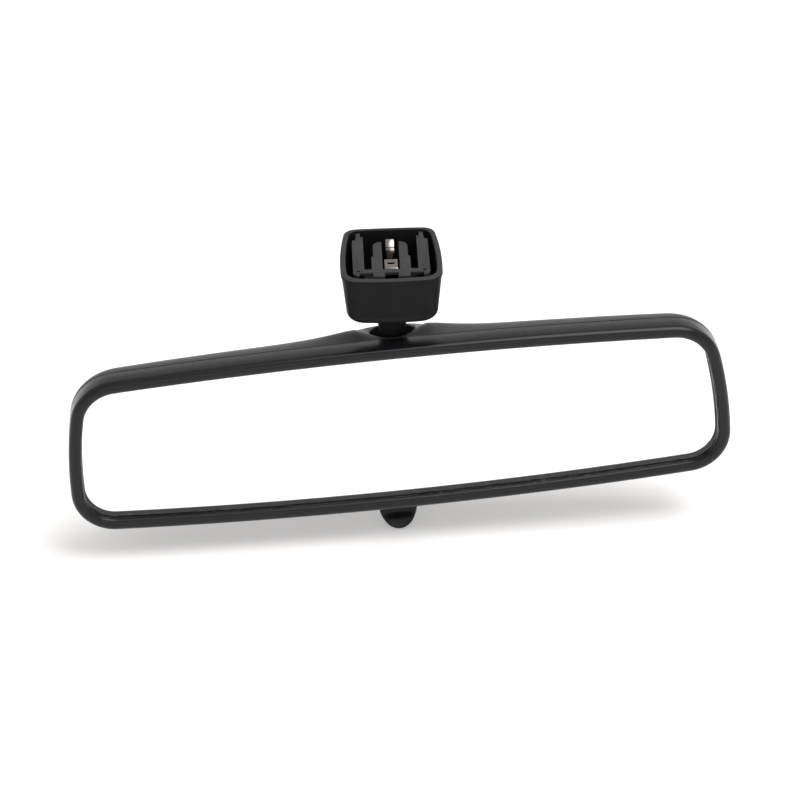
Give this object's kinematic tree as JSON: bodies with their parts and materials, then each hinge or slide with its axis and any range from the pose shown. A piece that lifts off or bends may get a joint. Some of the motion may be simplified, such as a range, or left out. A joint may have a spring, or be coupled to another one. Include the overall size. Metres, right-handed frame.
{
  "type": "interior rearview mirror",
  "caption": "Wide rounded interior rearview mirror with prismatic day/night glass, flip lever, ball-jointed stem and square windscreen foot with slide-in rails.",
  "frame": {"origin": "centre of the foot cover's open rim, in the rim's plane, where the mirror meets its windscreen bracket", "axes": "+Z out of the rim along the ball stem, +X along the mirror to the driver's right, glass facing -Y"},
  "size_m": [0.2399, 0.0438, 0.1111],
  "materials": {
    "foot_plastic": "fine moulded grain, matte",
    "rail_plastic": "bare injection-moulded, satin",
    "clip_steel": "rolled spring strip",
    "fastener_steel": "zinc-plated",
    "stem_metal": "black coated die casting",
    "seat_plastic": "natural acetal",
    "carrier_plastic": "glass-filled, matte",
    "spring_steel": "bright spring steel",
    "plug_brass": "turned",
    "pin_steel": "ground",
    "bezel_plastic": "fine satin gloss",
    "shell_plastic": "satin, very fine grain",
    "mirror_glass": "polished prism glass",
    "silvering": "rear silvered",
    "foam": "closed-cell foam",
    "frame_plastic": "moulded, matte",
    "bumper_rubber": "soft rubber",
    "lever_plastic": "moulded, fine grain"
  },
  "bodies": {
    "foot": {"foot_cover": "foot_plastic", "rail_insert": "rail_plastic", "spring_clip": "clip_steel", "clip_rivet": "fastener_steel", "ball_stem": "stem_metal", "stem_screws": "fastener_steel"},
    "swivel_seat": {"upper_ball_seat": "seat_plastic"},
    "tilt_seat": {"lower_ball_seat": "seat_plastic"},
    "carrier": {"carrier_bracket": "carrier_plastic", "socket_cap": "carrier_plastic", "cap_screws": "fastener_steel", "pressure_pad": "seat_plastic", "pressure_spring": "spring_steel", "spring_plug": "plug_brass", "pivot_pins": "pin_steel"},
    "head": {"front_bezel": "bezel_plastic", "rear_shell": "shell_plastic", "prism_glass": "mirror_glass", "mirror_silvering": "silvering", "foam_backing": "foam", "mechanism_frame": "frame_plastic", "frame_screws": "fastener_steel", "lever_pin": "pin_steel", "detent_spring": "spring_steel", "detent_screw": "fastener_steel", "stop_bumpers": "bumper_rubber"},
    "lever": {"day_night_lever": "lever_plastic"}
  },
  "joints": [
    {"name": "swivel", "type": "hinge", "parent": "foot", "child": "swivel_seat", "pos_m": [0, 0, -0.044], "axis": [0, 0, 1], "range_deg": [-33, 27]},
    {"name": "tilt", "type": "hinge", "parent": "swivel_seat", "child": "tilt_seat", "pos_m": [0, 0, -0.044], "axis": [0.9986, 0.0523, 0], "range_deg": [-8.5, 13.5]},
    {"name": "roll", "type": "hinge", "parent": "tilt_seat", "child": "carrier", "pos_m": [0, 0, -0.044], "axis": [-0.0523, 0.9977, -0.0436], "range_deg": [-3.5, 7]},
    {"name": "day_night_tilt", "type": "hinge", "parent": "carrier", "child": "head", "pos_m": [0, 0, -0.044], "axis": [0.9976, 0.0542, 0.0436], "range_deg": [0, 4.5]},
    {"name": "lever_flip", "type": "hinge", "parent": "head", "child": "lever", "pos_m": [-0.00018, -0.00355, -0.09055], "axis": [0.9976, 0.0542, 0.0436], "range_deg": [0, 45]}
  ],
  "couplings": [
    {"joint": "lever_flip", "follows": "day_night_tilt", "ratio": 10}
  ]
}
